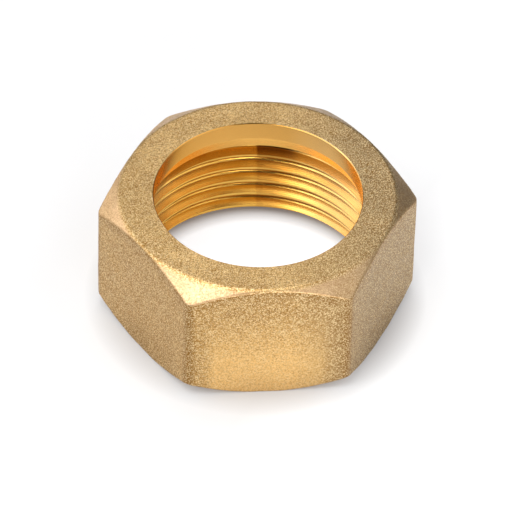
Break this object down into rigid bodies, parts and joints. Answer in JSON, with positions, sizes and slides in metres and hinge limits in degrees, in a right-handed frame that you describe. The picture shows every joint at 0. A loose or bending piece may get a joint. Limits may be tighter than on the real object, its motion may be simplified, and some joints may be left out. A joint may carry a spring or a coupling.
{
  "type": "union nut",
  "caption": "Hexagonal brass union nut with an inward collar at one end and an internal parallel pipe thread.",
  "frame": {"origin": "centre of the flat face at the threaded end, where the nut stands", "axes": "+Z along the bore, from the threaded end to the collar; two flats face -Y and +Y, two corners point along -X and +X"},
  "size_m": [0.0424, 0.037, 0.0184],
  "materials": {
    "forged_brass": "shot-blasted forging, bore machined bright"
  },
  "bodies": {
    "root": {"union_nut": "forged_brass"}
  },
  "joints": []
}
